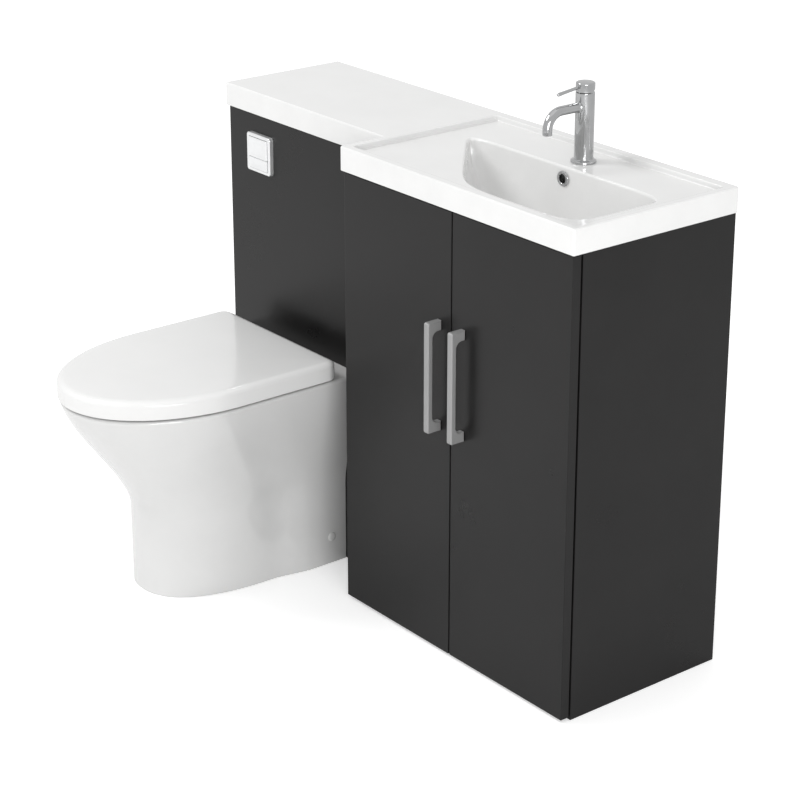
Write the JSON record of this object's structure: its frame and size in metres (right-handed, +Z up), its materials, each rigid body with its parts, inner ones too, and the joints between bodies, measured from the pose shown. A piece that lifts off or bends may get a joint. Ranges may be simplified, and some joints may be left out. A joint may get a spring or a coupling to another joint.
{
  "type": "toilet and basin combination unit",
  "caption": "Bathroom combination unit: a dark basin cabinet with doors beside a shallower toilet cabinet, under one white top, with a back-to-wall toilet pan in front.",
  "frame": {"origin": "on the floor, at the middle of the unit's overall footprint", "axes": "+X runs to the right along the fronts, +Y runs back to the wall, +Z is up"},
  "size_m": [1.11, 0.792, 1.018],
  "materials": {
    "top_stone": "white gloss cast marble",
    "board_face": "anthracite satin-gloss laminate",
    "board_core": "anthracite laminated chipboard",
    "ceramic": "white glaze",
    "seat_plastic": "white gloss",
    "chrome": "polished chrome",
    "satin_metal": "satin",
    "steel": "plated",
    "brass": "machined",
    "copper": "drawn tube",
    "white_plastic": "moulded",
    "pale_plastic": "silvered moulding",
    "clear_plastic": "translucent moulding",
    "red_plastic": "moulded",
    "dark_rubber": "moulded",
    "beech": "turned"
  },
  "bodies": {
    "unit": {"basin_top": "top_stone", "overflow_ring": "chrome", "overflow_pipe": "white_plastic", "waste_body": "brass", "trap_body": "white_plastic", "trap_cup": "white_plastic", "trap_outlet": "white_plastic", "tap_body": "chrome", "tap_cartridge": "white_plastic", "tap_aerator": "pale_plastic", "tap_tails": "copper", "plumbing_nuts": "white_plastic", "basin_side_left": "board_face", "basin_side_right": "board_face", "basin_floor": "board_core", "basin_rail_top": "board_core", "basin_rail_low": "board_core", "basin_shelf": "board_core", "shelf_pins": "steel", "hinge_arms": "steel", "hinge_plates": "steel", "door_buffers": "dark_rubber", "dowels": "beech", "wc_side_left": "board_face", "wc_side_right": "board_core", "wc_panel": "board_face", "wc_rails": "board_core", "flush_bezel": "pale_plastic", "flush_housing": "white_plastic", "air_tubes": "clear_plastic", "cistern_tank": "white_plastic", "cistern_lid": "white_plastic", "flush_valve_body": "white_plastic", "fill_valve": "white_plastic", "flush_pipe": "white_plastic", "flush_cone": "dark_rubber", "soil_connector": "white_plastic", "wc_pan": "ceramic", "seat_posts": "chrome", "seat_pins": "steel", "pan_brackets": "steel", "pan_screws": "steel", "pan_caps": "white_plastic"},
    "left_door": {"left_door": "board_face", "left_handle": "satin_metal", "left_hinge_cups": "steel", "left_door_screws": "steel"},
    "right_door": {"right_door": "board_face", "right_handle": "satin_metal", "right_hinge_cups": "steel", "right_door_screws": "steel"},
    "waste_plug": {"waste_plug": "chrome"},
    "tap_stem": {"tap_stem": "steel"},
    "tap_lever": {"tap_lever": "chrome"},
    "full_button": {"full_button": "pale_plastic"},
    "half_button": {"half_button": "pale_plastic"},
    "flush_valve_lift": {"flush_valve_lift": "red_plastic"},
    "fill_float": {"fill_float": "clear_plastic"},
    "seat": {"seat": "seat_plastic"},
    "lid": {"lid": "seat_plastic"}
  },
  "joints": [
    {"name": "left_door_swing", "type": "hinge", "parent": "unit", "child": "left_door", "pos_m": [-0.042, 0.039, 0.42], "axis": [0, 0, -1], "range_deg": [0, 95]},
    {"name": "right_door_swing", "type": "hinge", "parent": "unit", "child": "right_door", "pos_m": [0.542, 0.039, 0.42], "axis": [0, 0, 1], "range_deg": [0, 95]},
    {"name": "waste_press", "type": "slide", "parent": "unit", "child": "waste_plug", "axis": [0, 0, 1], "range_m": [-0.0085, 0]},
    {"name": "tap_turn", "type": "hinge", "parent": "unit", "child": "tap_stem", "pos_m": [0.26, 0.317, 1.004], "axis": [0, 0, 1], "range_deg": [-45, 45]},
    {"name": "tap_tilt", "type": "hinge", "parent": "tap_stem", "child": "tap_lever", "pos_m": [0.26, 0.317, 1.004], "axis": [-1, 0, 0], "range_deg": [0, 22]},
    {"name": "full_press", "type": "slide", "parent": "unit", "child": "full_button", "axis": [0, 1, 0], "range_m": [0, 0.006], "stiffness_N_per_m": 400},
    {"name": "half_press", "type": "slide", "parent": "unit", "child": "half_button", "axis": [0, 1, 0], "range_m": [0, 0.006], "stiffness_N_per_m": 400},
    {"name": "valve_lift", "type": "slide", "parent": "unit", "child": "flush_valve_lift", "axis": [0, 0, 1], "range_m": [0, 0.028]},
    {"name": "float_rise", "type": "slide", "parent": "unit", "child": "fill_float", "axis": [0, 0, 1], "range_m": [0, 0.06]},
    {"name": "seat_hinge", "type": "hinge", "parent": "unit", "child": "seat", "pos_m": [-0.32, 0.066, 0.424], "axis": [1, 0, 0], "range_deg": [-90, 0]},
    {"name": "lid_hinge", "type": "hinge", "parent": "seat", "child": "lid", "pos_m": [-0.32, 0.066, 0.424], "axis": [-1, 0, 0], "range_deg": [0, 94]}
  ],
  "couplings": [
    {"joint": "valve_lift", "follows": "full_press", "ratio": 4.6667}
  ]
}
